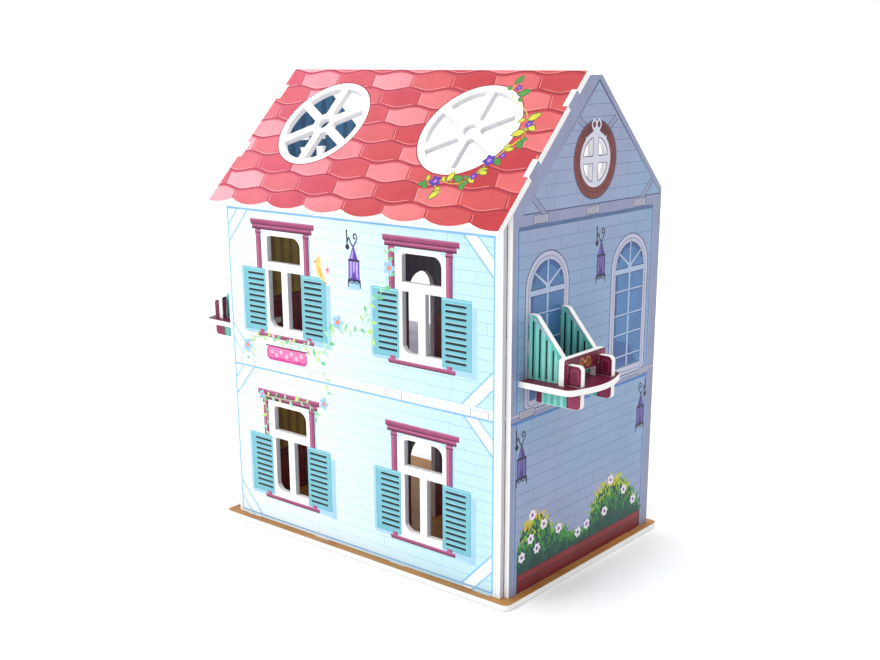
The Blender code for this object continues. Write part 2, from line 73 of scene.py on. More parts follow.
# Paints: colour, how far the wash varies it, size of the wash in mm, roughness, and for some how the colour
# fades to
# another: along an axis between two places in metres, as painted light, or by a broad noise of a given scale.
PAINTS = {
    "studio_floor": ("FDFDFD", 0.002, 900, 0.8),
    # board_shade and tab_end_shade: white board ends with painted shade, grey on the front wall's ends and
    # lilac grey on the floors' tab ends.
    "board_shade": ("C2C2C9", 0.03, 14, 0.55),
    "tab_end_shade": ("A3A3B6", 0.05, 8, 0.55),
    "board_edge": ("F4F3F1", 0.03, 14, 0.55),
    # The front siding and its lines fade along X from pale at the left to deeper blue at the right: painted
    # light, falling off across the front wall.
    "siding": ("EAF6FB", 0.02, 70, 0.42, ("X", -0.12, 0.17, "C4E7F5")),
    "siding_line": ("C3E2F0", 0.04, 30, 0.42, ("X", -0.12, 0.17, "94C6DF")),
    "frame_blue": ("86BFEE", 0.08, 25, 0.42),
    "band_white": ("F2FAFD", 0.02, 40, 0.42),
    "cornice": ("A04670", 0.08, 12, 0.42),
    "cornice_light": ("BC6C92", 0.06, 10, 0.42),
    "cornice_dark": ("5C1F3D", 0.08, 10, 0.42),
    "casing": ("FAFCFC", 0.02, 20, 0.42),
    "casing_line": ("BFD3DC", 0.05, 10, 0.42),
    "shutter": ("79BECB", 0.06, 16, 0.42),
    "shutter_edge": ("62AEC2", 0.08, 10, 0.42),
    "shutter_light": ("98D6E1", 0.05, 10, 0.42),
    "cast_shadow": ("A9D3EE", 0.04, 20, 0.42),
    "slat": ("161B22", 0.20, 5, 0.40),
    "lantern_metal": ("26234C", 0.15, 6, 0.38),
    "lantern_purple": ("6244AC", 0.12, 8, 0.40),
    "lantern_glass": ("B9A2E6", 0.14, 7, 0.36),
    "stem": ("A6D2A0", 0.12, 10, 0.45),
    "leaf_green": ("74C98C", 0.16, 7, 0.45),
    "leaf_pale": ("A8DEBE", 0.12, 7, 0.45),
    "leaf_lime": ("BFDF7E", 0.12, 7, 0.45),
    "petal_blue": ("A6CDF4", 0.10, 6, 0.45),
    "petal_blue_dark": ("84B4EA", 0.10, 6, 0.45),
    "petal_orange": ("F08A5C", 0.10, 3, 0.45),
    "petal_pink": ("F2B8C8", 0.10, 5, 0.45),
    "bird": ("F4D47C", 0.10, 6, 0.45),
    "bird_wing": ("E9B75E", 0.12, 5, 0.45),
    "box_pink": ("F07CB4", 0.10, 9, 0.42),
    "box_pink_dark": ("D63F92", 0.10, 9, 0.42),
    "box_white": ("FBE3EC", 0.04, 6, 0.42),
    "gable_siding": ("88A2C2", 0.05, 60, 0.44, ("noise", 5.5, 0, "949FBE")),
    "gable_line": ("647A9F", 0.08, 25, 0.44),
    "gable_trim": ("8D93B1", 0.05, 30, 0.44),
    "gable_trim_dark": ("8A90B2", 0.08, 20, 0.44),
    "gable_blue": ("3F74B4", 0.10, 20, 0.44),
    "gable_shadow": ("4D6790", 0.12, 20, 0.44),
    "gable_dark": ("3C4A74", 0.12, 20, 0.44),
    "arch_trim": ("B9BAD0", 0.04, 25, 0.44),
    "arch_glass": ("4775A8", 0.12, 32, 0.34),
    "arch_glass_deep": ("2F5690", 0.12, 20, 0.34),
    "arch_bar": ("A4B8D6", 0.05, 14, 0.42),
    "gable_ring": ("7A3530", 0.14, 9, 0.42),
    "gable_ring_dark": ("5C2228", 0.12, 9, 0.42),
    # gable_white: white print on the side wall with painted shade, a lilac grey.
    "gable_white": ("CFCFDE", 0.04, 16, 0.42),
    "side_purple": ("43327C", 0.14, 8, 0.40),
    "side_metal": ("14142C", 0.15, 6, 0.38),
    "side_glass": ("6F60A6", 0.14, 7, 0.36),
    "planter": ("741C26", 0.14, 22, 0.42),
    "planter_rim": ("85242C", 0.12, 22, 0.42),
    "planter_dark": ("45131C", 0.12, 16, 0.42),
    "bush_deep": ("1C4A44", 0.18, 12, 0.5),
    "bush_dark": ("236040", 0.18, 9, 0.5),
    "bush_mid": ("3C8A3C", 0.18, 8, 0.5),
    "bush_light": ("7CAE35", 0.16, 7, 0.5),
    "bush_lime": ("B2C233", 0.14, 7, 0.5),
    "bush_gold": ("CDB52F", 0.14, 7, 0.5),
    "daisy": ("EFE6F4", 0.05, 4, 0.45),
    "daisy_shade": ("C9B2DC", 0.08, 4, 0.45),
    "daisy_heart": ("6D3A86", 0.12, 3, 0.45),
    # Every roof paint fades along X from paler at the left to deeper red at the right: painted light, a sheen
    # and light falling off across the roof; the tints that differ tile by tile are print.
    "tile_blush": ("ECA2AD", 0.05, 24, 0.40, ("X", -0.22, 0.16, "D76A6C")),
    "tile_pale": ("E7939F", 0.05, 24, 0.40, ("X", -0.22, 0.16, "D15D5E")),
    "tile_mid": ("D86D79", 0.06, 24, 0.40, ("X", -0.22, 0.16, "C44849")),
    "tile_deep": ("D05C69", 0.06, 24, 0.40, ("X", -0.22, 0.16, "BA373C")),
    "tile_red": ("CE5668", 0.06, 24, 0.40, ("X", -0.22, 0.16, "B52D34")),
    "tile_line": ("A8304C", 0.10, 12, 0.40, ("X", -0.22, 0.2, "93202F")),
    "tile_shade": ("CB5C70", 0.08, 14, 0.40, ("X", -0.22, 0.2, "B4323E")),
    "tile_gleam": ("F6C0C6", 0.06, 10, 0.40, ("X", -0.22, 0.2, "EE9A98")),
    "vine_green": ("4E8F42", 0.16, 7, 0.45),
    "vine_lime": ("CFCB3C", 0.12, 7, 0.45),
    "vine_vein": ("4A6A26", 0.12, 6, 0.45),
    "vine_purple": ("4F37A4", 0.16, 5, 0.45),
    "vine_pink": ("B873C8", 0.10, 3, 0.45),
    "ground_wood": ("B07C42", 0.14, 35, 0.5),
    "ground_joint": ("8C5A2C", 0.14, 20, 0.5),
    "plank_a": ("D2D1E8", 0.16, 30, 0.48),
    "plank_b": ("CBCAE2", 0.16, 30, 0.48),
    "plank_joint": ("A9A8C6", 0.12, 20, 0.5),
    "olive": ("A58A30", 0.14, 26, 0.5),
    "olive_stripe": ("856C22", 0.14, 26, 0.5),
    "dado": ("7A2029", 0.16, 26, 0.5),
    "dado_line": ("33151C", 0.14, 14, 0.5),
    "violet_wall": ("44304F", 0.16, 28, 0.5),
    "violet_stripe": ("372842", 0.16, 28, 0.5),
    "lilac_wall": ("A9A3BE", 0.10, 40, 0.5),
    "lilac_stripe": ("9890B0", 0.10, 40, 0.5),
    "navy_wall": ("3A6E96", 0.14, 35, 0.5),
    "navy_stripe": ("2C5878", 0.14, 35, 0.5),
    "shelf_grey": ("5B5560", 0.14, 16, 0.5),
    "shelf_dark": ("2E2A33", 0.14, 12, 0.5),
    "balcony_wine": ("6E1D38", 0.14, 18, 0.42),
    "balcony_wine_dark": ("4A1028", 0.14, 14, 0.42),
    "balcony_rose": ("99335C", 0.12, 14, 0.42),
    "balcony_teal": ("5FC0B4", 0.10, 16, 0.42),
    "balcony_mint": ("8AD6CC", 0.07, 14, 0.42),
    "balcony_slot": ("11191C", 0.20, 5, 0.40),
    "balcony_lilac": ("B4B2C8", 0.06, 14, 0.42),
    "gilt": ("C98A2C", 0.14, 5, 0.36),
}


def linear(code):
    """Linear red, green and blue of a hexadecimal colour."""
    made = []
    for i in (0, 2, 4):
        c = int(code[i : i + 2], 16) / 255
        made.append(c / 12.92 if c <= 0.04045 else ((c + 0.055) / 1.055) ** 2.4)
    return made


def paint(name):
    """The named paint as a material: a soft wash of colour, fine fibre in the relief, and uneven gloss."""
    if name in bpy.data.materials:
        return bpy.data.materials[name]
    code, wash, size, roughness, *fade = PAINTS[name]
    material = bpy.data.materials.new(name)
    material.use_nodes = True
    nodes, links = material.node_tree.nodes, material.node_tree.links
    shader = nodes["Principled BSDF"]
    place = nodes.new("ShaderNodeTexCoord").outputs["Object"]

    def noise(scale, detail):
        made = nodes.new("ShaderNodeTexNoise")
        made.inputs["Scale"].default_value = scale
        made.inputs["Detail"].default_value = detail
        links.new(place, made.inputs["Vector"])
        return made.outputs["Fac"]

    mottle = noise(1 / (size * MM), 4)

    def washed(code):
        ramp = nodes.new("ShaderNodeValToRGB")
        base = linear(code)
        low, high = ramp.color_ramp.elements
        low.position, high.position = 0.32, 0.68
        low.color = (*[max(0.0, c * (1 - wash) - 0.004) for c in base], 1)
        high.color = (*[min(1.0, c * (1 + wash) + wash * 0.02) for c in base], 1)
        links.new(mottle, ramp.inputs["Fac"])
        return ramp.outputs["Color"]

    colour = washed(code)
    # A fade along an axis is painted light falling across a board; a noise fade is random tone.
    if fade:
        axis, start, end, other = fade[0]
        across = nodes.new("ShaderNodeMapRange")
        across.interpolation_type = "SMOOTHSTEP"
        if axis == "noise":
            across.inputs["From Min"].default_value, across.inputs["From Max"].default_value = 0.4, 0.6
            links.new(noise(start, 2), across.inputs["Value"])
        else:
            parts = nodes.new("ShaderNodeSeparateXYZ")
            links.new(place, parts.inputs["Vector"])
            across.inputs["From Min"].default_value, across.inputs["From Max"].default_value = start, end
            links.new(parts.outputs[axis], across.inputs["Value"])
        mix = nodes.new("ShaderNodeMix")
        mix.data_type = "RGBA"
        links.new(across.outputs["Result"], mix.inputs[0])
        links.new(colour, mix.inputs[6])
        links.new(washed(other), mix.inputs[7])
        colour = mix.outputs[2]
    links.new(colour, shader.inputs["Base Color"])
    gloss = nodes.new("ShaderNodeMapRange")
    gloss.inputs["To Min"].default_value = roughness - 0.08
    gloss.inputs["To Max"].default_value = roughness + 0.10
    fine = noise(420, 5)
    links.new(fine, gloss.inputs["Value"])
    links.new(gloss.outputs["Result"], shader.inputs["Roughness"])
    bump = nodes.new("ShaderNodeBump")
    bump.inputs["Strength"].default_value = 0.10
    bump.inputs["Distance"].default_value = 0.0002
    links.new(fine, bump.inputs["Height"])
    links.new(bump.outputs["Normal"], shader.inputs["Normal"])
    shader.inputs["Specular IOR Level"].default_value = 0.35
    return material


def area(loop):
    return sum(a[0] * b[1] - b[0] * a[1] for a, b in zip(loop, loop[1:] + loop[:1])) / 2


def grown(loop, by):
    """The loop moved outwards by a distance, or inwards if it is negative."""
    loop = loop if area(loop) > 0 else loop[::-1]
    made = []
    for before, here, after in zip(loop[-1:] + loop[:-1], loop, loop[1:] + loop[:1]):
        a = Vector((here[1] - before[1], before[0] - here[0])).normalized()
        b = Vector((after[1] - here[1], here[0] - after[0])).normalized()
        shift = (a + b) * (by / max(0.3, 1 + a.dot(b)))
        made.append((here[0] + shift.x, here[1] + shift.y))
    return made


class Side:
    """One flat side of a board: its plane, and its outline and cut-outs in millimetres from an origin."""

    def __init__(self, node, out, right, up, origin):
        self.node, self.out, self.right, self.up, self.origin = node, out, right, up, origin
        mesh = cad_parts[node].data
        self.reach = max(v.co.dot(out) for v in mesh.vertices)
        ends, corners = {}, {}
        for face in mesh.polygons:
            if face.normal.dot(out) < 0.99 or self.reach - face.center.dot(out) > PLANE_TOLERANCE:
                continue
            keys = []
            for i in face.vertices:
                key = tuple(round(c / MM * 50) for c in mesh.vertices[i].co)
                corners[key] = mesh.vertices[i].co
                keys.append(key)
            for pair in zip(keys, keys[1:] + keys[:1]):
                ends[pair] = ends.get(pair, 0) + 1
        following = {a: b for a, b in ends if (b, a) not in ends}
        loops = []
        while following:
            key, loop = next(iter(following)), []
            while key in following:
                loop.append(self.flat(corners[key]))
                key = following.pop(key)
            loops.append(loop)
        loops.sort(key=lambda loop: -abs(area(loop)))
        self.outline = grown(loops[0], -EDGE_SHOWN)
        self.holes = [grown(loop, EDGE_SHOWN) for loop in loops[1:]]

    def flat(self, point):
        away = (point - self.origin) / MM
        return away.dot(self.right), away.dot(self.up)

    def space(self, u, v):
        on = self.origin + (self.right * u + self.up * v) * MM
        return on + self.out * (self.reach + LAYER * MM - on.dot(self.out))


def inside(loop, points):
    """Which points lie in the loop, by the turns it makes round them."""
    x, y = points[:, 0], points[:, 1]
    turns = np.zeros(len(points), int)
    for (x0, y0), (x1, y1) in zip(loop, loop[1:] + loop[:1]):
        left = (x1 - x0) * (y - y0) - (x - x0) * (y1 - y0)
        turns += (y0 <= y) & (y1 > y) & (left > 0)
        turns -= (y0 > y) & (y1 <= y) & (left < 0)
    return turns != 0


class Picture:
    """Shapes painted one over another on a side of a board."""

    def __init__(self, ground):
        self.ground, self.shapes = ground, []

    def fill(self, name, loop):
        self.shapes.append((name, [(float(u), float(v)) for u, v in loop]))

    def box(self, name, u0, u1, v0, v1, radius=0.0):
        self.fill(name, rounded(u0, u1, v0, v1, radius))

    def disc(self, name, u, v, radius, steps=24):
        turns = [math.tau * i / steps for i in range(steps)]
        self.fill(name, [(u + radius * math.cos(t), v + radius * math.sin(t)) for t in turns])

    def line(self, name, points, width, end_width=None):
        self.fill(name, stroke(points, width, end_width))

    def curve(self, name, points, width, end_width=None, steps=5):
        self.line(name, smooth(points, steps), width, end_width)

    def lay(self, name, side):
        """Cuts the picture to the side's outline and makes its printed layer."""
        loops = [side.outline, *side.holes]
        low = np.array(side.outline).min(0)
        high = np.array(side.outline).max(0)
        shapes = []
        for colour, loop in self.shapes:
            corners = np.array(loop)
            if (corners.max(0) > low).all() and (corners.min(0) < high).all():
                shapes.append((colour, loop))
        points, edges = [], []
        for loop in loops + [loop for _, loop in shapes]:
            first = len(points)
            points += [Vector(p) for p in loop]
            edges += [(first + i, first + (i + 1) % len(loop)) for i in range(len(loop))]
        found = delaunay_2d_cdt(points, edges, [], 0, 1e-4, False)
        flat = np.array([tuple(p) for p in found[0]])
        faces = np.array([tuple(f) for f in found[2]])
        a, b, c = flat[faces[:, 0]], flat[faces[:, 1]], flat[faces[:, 2]]
        size = (b[:, 0] - a[:, 0]) * (c[:, 1] - a[:, 1]) - (c[:, 0] - a[:, 0]) * (b[:, 1] - a[:, 1])
        middle = (a + b + c) / 3
        keep = inside(side.outline, middle) & (abs(size) > 1e-7)
        for hole in side.holes:
            keep &= ~inside(hole, middle)
        faces, middle, size = faces[keep], middle[keep], size[keep]
        colours = [self.ground] + sorted({colour for colour, _ in shapes} - {self.ground})
        worn = np.zeros(len(faces), int)
        for colour, loop in shapes:
            corners = np.array(loop)
            near = ((middle >= corners.min(0)) & (middle <= corners.max(0))).all(1).nonzero()[0]
            worn[near[inside(loop, middle[near])]] = colours.index(colour)
        turned = side.right.cross(side.up).dot(side.out) < 0
        faces = [tuple(f[::-1] if (s < 0) != turned else f) for f, s in zip(faces.tolist(), size)]
        used = sorted({i for f in faces for i in f})
        number = {i: n for n, i in enumerate(used)}
        mesh = bpy.data.meshes.new(name)
        mesh.from_pydata(
            [side.space(*flat[i]) for i in used], [], [[number[i] for i in f] for f in faces]
        )
        for colour in colours:
            mesh.materials.append(paint(colour))
        mesh.polygons.foreach_set("material_index", worn.astype(np.int32))
        made = bpy.data.objects.new(name, mesh)
        bpy.context.scene.collection.objects.link(made)
        thick = made.modifiers.new("layer", "SOLIDIFY")
        thick.thickness, thick.offset = LAYER_THICKNESS * MM, -1
        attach(made, "root")
        return made


def arc(u, v, radius, start, end, steps=8):
    turns = [math.radians(start + (end - start) * i / steps) for i in range(steps + 1)]
    return [(u + radius * math.cos(t), v + radius * math.sin(t)) for t in turns]


def rounded(u0, u1, v0, v1, radius=0.0):
    if not radius:
        return [(u0, v0), (u1, v0), (u1, v1), (u0, v1)]
    r = min(radius, (u1 - u0) / 2, (v1 - v0) / 2)
    loop = arc(u0 + r, v0 + r, r, 180, 270) + arc(u1 - r, v0 + r, r, 270, 360)
    return loop + arc(u1 - r, v1 - r, r, 0, 90) + arc(u0 + r, v1 - r, r, 90, 180)


def smooth(points, steps):
    """A smooth curve through the points."""
    ends = [points[0], *points, points[-1]]
    made = []
    for p, q, r, s in zip(ends, ends[1:], ends[2:], ends[3:]):
        for t in (i / steps for i in range(steps)):
            made.append(tuple(
                (2 * b + (c - a) * t + (2 * a - 5 * b + 4 * c - d) * t * t
                 + (3 * b - a - 3 * c + d) * t**3) / 2
                for a, b, c, d in zip(p, q, r, s)
            ))
    return made + [points[-1]]


def stroke(points, width, end_width=None):
    """The outline of a brush stroke along the points."""
    points = [Vector(p) for p in points]
    widths = np.linspace(width, width if end_width is None else end_width, len(points))
    left, right = [], []
    for i, here in enumerate(points):
        ahead = (points[min(i + 1, len(points) - 1)] - here).normalized()
        behind = (here - points[max(i - 1, 0)]).normalized()
        along = (ahead + behind).normalized()
        across = Vector((-along.y, along.x)) * float(widths[i]) / 2
        left.append(tuple(here + across))
        right.append(tuple(here - across))
    return left + right[::-1]


def turned(loop, angle, u, v):
    c, s = math.cos(math.radians(angle)), math.sin(math.radians(angle))
    return [(u + x * c - y * s, v + x * s + y * c) for x, y in loop]


LEAF = [(0, 0), (0.18, 0.28), (0.45, 0.42), (0.75, 0.28), (1, 0), (0.75, -0.28), (0.45, -0.42), (0.18, -0.28)]


def leaf(picture, name, u, v, angle, length, vein=None, plump=1.0):
    shape = [(x * length, y * length * 0.55 * plump) for x, y in LEAF]
    if vein:
        rim = [(x * length * 1.14 - length * 0.06, y * length * 0.78 * plump) for x, y in LEAF]
        picture.fill(vein, turned(rim, angle, u, v))
    picture.fill(name, turned(shape, angle, u, v))
    if vein:
        picture.fill(vein, turned([(0, 0.18), (length * 0.8, 0), (0, -0.18)], angle, u, v))


def blossom(picture, petal, heart, u, v, radius, petals=5, angle=90, shade=None):
    """A flower of round petals, each with a darker fold, about a heart."""
    for i in range(petals):
        turn = angle + 360 * i / petals
        shape = [(x * radius, y * radius * 0.95) for x, y in LEAF]
        picture.fill(petal, turned(shape, turn, u, v))
        if shade:
            fold = [(radius * 0.2, 0.12 * radius), (radius * 0.75, 0), (radius * 0.2, -0.12 * radius)]
            picture.fill(shade, turned(fold, turn, u, v))
    picture.disc(heart, u, v, radius * 0.3, 10)


def slot_shade_rims(picture, name, side, width=2.2):
    """A thin line round every slot: painted shade where the slot's cut edge and the gap round its tab lie in
    shadow.
    """
    for loop in side.holes:
        if abs(area(loop)) < SLOT_AREA:
            picture.line(name, loop + loop[:1], width)


def siding(picture, name, u0, u1, v0, v1, pitch, board, width, seed):
    """Faint lines of weatherboarding, with staggered joints."""
    draw = random.Random(seed)
    v = v0
    row = 0
    while v < v1 - pitch * 0.3:
        if row:
            picture.box(name, u0, u1, v - width / 2, v + width / 2)
        u = u0 + board * (0.35 if row % 2 else 0.85) + draw.uniform(-8, 8)
        while u < u1 - 6:
            picture.box(name, u - width * 0.4, u + width * 0.4, v, min(v + pitch, v1))
            u += board + draw.uniform(-9, 9)
        v += pitch
        row += 1


def lantern(picture, u, v, metal, purple, glass, mirror=1, shadow_patch=None):
    """A hanging lantern on a scrolled hook, with the top of its body centred on (u, v)."""

    def at(points):
        return [(u + mirror * x, v + y) for x, y in points]

    # shadow_patch paints the shadow under the lantern's base and feet; the side walls give it their plain
    # wall colour, so no shadow shows there.
    if shadow_patch:
        picture.fill(shadow_patch, at([(-9, -20), (9, -20), (8, -31), (-8, -31)]))
    picture.line(metal, at([(-9.6, 31), (-9.0, 14)]), 2.0)
    picture.disc(metal, u - mirror * 9.6, v + 31, 1.3, 10)
    picture.disc(metal, u - mirror * 8.9, v + 14, 3.0, 16)
    scroll = [(-9.2, 19), (-6.5, 24), (-4.5, 19.5), (-1, 15.5), (2.5, 19), (5.2, 24), (3.4, 28.5),
        (0.2, 27), (0.8, 23.6), (3, 24)]
    picture.curve(metal, at(scroll), 1.7)
    picture.fill(purple, at([(-1.2, 15.5), (0.6, 15.5), (6.2, 1), (-6.8, 1)]))
    picture.fill(glass, at([(-0.9, 12), (-0.4, 12), (-1.6, 2), (-5.0, 2)]))
    picture.fill(glass, at([(-7, 0), (7, 0), (7.6, -21), (-7.2, -21)]))
    picture.fill(purple, at([(-2.6, -16), (0, -11), (2.6, -16), (6.6, -21), (-6.6, -21)]))
    for x, wide in ((-6.9, 2.2), (-2.3, 1.4), (1.8, 1.4), (6.9, 2.2)):
        picture.line(purple, at([(x, 0), (x * 1.04, -21)]), wide)
    picture.line(metal, at([(-8.2, 0.4), (8.2, 0.4)]), 2.4)
    picture.line(metal, at([(-8.4, -21), (8.6, -21)]), 2.5)
    for x in (-8.6, 8.6):
        picture.line(metal, at([(x * 0.96, -20), (x * 1.04, -29)]), 2.4, 1.4)
    picture.curve(metal, at([(-8, -22), (-3, -24.5), (0, -22.5), (3, -24.5), (8, -22)]), 1.2)


def shutter(picture, u0, u1, v0, v1, slat_low, slat_high, first):
    """A louvred shutter: aqua board with dark slots."""
    picture.box("shutter_edge", u0, u1, v0, v1, 1.2)
    picture.box("shutter", u0 + 0.9, u1 - 0.9, v0 + 0.9, v1 - 0.9, 0.8)
    picture.box("shutter_light", u0 + 0.9, u1 - 0.9, v1 - 2.4, v1 - 0.9)
    for i in range(SLATS):
        v = first - SLAT_PITCH * i
        picture.box("shutter_light", slat_low - 0.4, slat_high + 0.4, v + 0.9, v + 1.9, 0.4)
        picture.box("slat", slat_low, slat_high, v - 1.25, v + 1.25, 0.6)
        picture.box("shutter_edge", slat_low, slat_high, v - 2.1, v - 1.25, 0.3)


SLATS, SLAT_PITCH = 10, 6.5


def window(picture, u, base, upper):
    """Cornice, columns, casing, shutters and sill about the window centred on u, over the height base."""

    def box(name, u0, u1, v0, v1, radius=0.0):
        picture.box(name, u + u0, u + u1, base + v0, base + v1, radius)

    box("cast_shadow", 40.5, 43.5, 105, 154)
    picture.fill("casing", grown_arch(u - 35.6, u + 35.6, base + 33, base + 152.8, 15))
    picture.line("casing_line", [(u - 36, base + 36), (u - 36, base + 138)], 0.6)
    for side in (-1, 1):
        u0, u1 = (-44.6, -36.3) if side < 0 else (32.6, 41.0)
        box("cornice", u0, u1, 107, 156)
        box("cornice_light", u0 + 1.6, u0 + 3.2, 107, 151)
        box("cornice_dark", u1 - 1.2, u1, 107, 156)
        box("cornice_dark", u0 - 0.8, u1 + 0.8, 149.2, 150.6)
        box("cornice_light", u0 - 0.8, u1 + 0.8, 150.6, 152.4)
        corner = u + (-35.4 if side < 0 else 31.6)
        scroll = [(0, 139), (side * -0.5, 145), (side * -3.5, 150), (side * -8, 152.6)]
        picture.curve("casing_line", [(corner + x, base + y) for x, y in scroll], 0.9)
    box("cornice_dark", -50.2, 46.4, 153.6, 156.2)
    box("cornice", -50.2, 46.4, 155.6, 159.4)
    box("cornice_light", -50.2, 46.4, 157.2, 158.2)
    box("cornice_dark", -52.8, 50, 159.2, 160.2)
    box("cornice", -52.8, 50, 160.0, 165.2, 0.8)
    box("cornice_light", -52.4, 49.6, 163.6, 165.0)
    for i in range(34):
        box("cornice_dark", -51.2 + 3.0 * i, -50.3 + 3.0 * i, 158.4, 160.9)
    low = 36.3
    box("cast_shadow", 63, 72.5, low - 7, low + 65)
    box("cast_shadow", 27.5, 65, low - 6, low + 2)
    box("cast_shadow", -71.5, -67, low - 2, low + 73)
    box("cast_shadow", -69, -33, low - 4, low + 2)
    shutter(picture, u - 68.2, u - 31.3, base + low, base + 109.5, u - 60.5, u - 34, base + 102.6)
    shutter(picture, u + 26.9, u + 65.6, base + low, base + 108.6, u + 31.4, u + 58.8, base + 101.6)
    for u0, u1 in ((-44, -37), (33.5, 40.5)):
        box("cornice", u0, u1, 34, 38.2)
        box("cornice_light", u0 + 1.4, u0 + 2.8, 34, 38.2)
    box("cornice_dark", -46.8, 44.2, 29.8, 31.6)
    box("cornice", -47.4, 44.8, 31, 34.6, 0.8)
    box("cornice_light", -46.6, 44, 33.2, 34.3)
    if upper:
        box("casing_line", -30, 30, 36.2, 36.8)


def grown_arch(u0, u1, v0, v1, radius):
    """An upright panel whose two upper corners are rounded."""
    return [(u0, v0), (u1, v0), *arc(u1 - radius, v1 - radius, radius, 0, 90),
        *arc(u0 + radius, v1 - radius, radius, 90, 180)]


def vine(picture, points, seed, stem="stem", greens=("leaf_green", "leaf_pale", "leaf_lime"), size=8.5,
        gap=5.5, width=1.2):
    """A trailing stem with leaves to either side."""
    draw = random.Random(seed)
    path = smooth(points, 6)
    picture.line(stem, path, width, width * 0.6)
    run, side = 0.0, 1
    for a, b in zip(path, path[1:]):
        run += math.dist(a, b)
        if run < gap:
            continue
        run, side = draw.uniform(-2, 1.5), -side
        heading = math.degrees(math.atan2(b[1] - a[1], b[0] - a[0]))
        angle = heading + side * draw.uniform(35, 80)
        leaf(picture, draw.choice(greens), b[0], b[1], angle, size * draw.uniform(0.75, 1.25),
            plump=draw.uniform(0.8, 1.2))


def brace(picture, inner, toward, width=13.0):
    """A white diagonal across a corner between two blue lines; toward points to the corner."""
    (u0, v0), (u1, v1) = inner
    slant = Vector((toward[0], toward[1])).normalized() * width
    outer = [(u0 + slant.x, v0 + slant.y), (u1 + slant.x, v1 + slant.y)]
    picture.fill("band_white", [inner[0], inner[1], outer[1], outer[0]])
    picture.line("frame_blue", inner, 1.9)
    picture.line("frame_blue", outer, 1.5)


# Datums that the pictures are measured from.
floor_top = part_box("base_board")[1].z
wall_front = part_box("front_wall")[0].y
left_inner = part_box("left_side_wall")[1].x
right_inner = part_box("right_side_wall")[0].x
body_width = (right_inner - left_inner) / MM
body_depth = (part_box("right_side_wall")[1].y - wall_front) / MM
first_top = (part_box("first_floor")[1].z - floor_top) / MM
attic_top = (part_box("attic_floor")[1].z - floor_top) / MM
front_origin = Vector((left_inner, wall_front, floor_top))
window_u = (97.5, 301.0)


